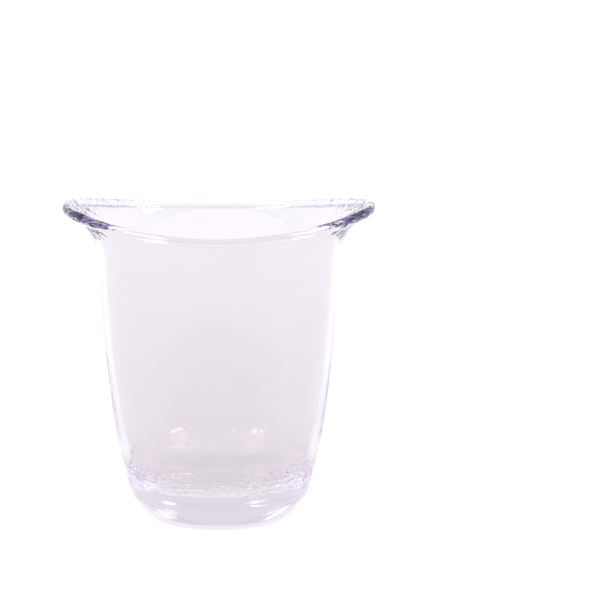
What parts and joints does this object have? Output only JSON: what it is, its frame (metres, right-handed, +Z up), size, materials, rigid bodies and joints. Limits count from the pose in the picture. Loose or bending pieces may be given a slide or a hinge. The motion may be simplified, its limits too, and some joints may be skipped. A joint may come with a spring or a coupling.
{
  "type": "champagne bucket",
  "caption": "Clear moulded round bucket for ice and a bottle, with a thick base and a mouth that sweeps out into two upturned ears for lifting.",
  "frame": {"origin": "centre of the underside, on the surface that the bucket stands on", "axes": "+X towards the right ear, +Y towards the back lip, +Z up"},
  "size_m": [0.218, 0.169, 0.2228],
  "materials": {
    "clear_plastic": "polished"
  },
  "bodies": {
    "root": {"base": "clear_plastic", "wall": "clear_plastic", "lip_front": "clear_plastic", "lip_back": "clear_plastic", "ear_left": "clear_plastic", "ear_right": "clear_plastic"}
  },
  "joints": []
}
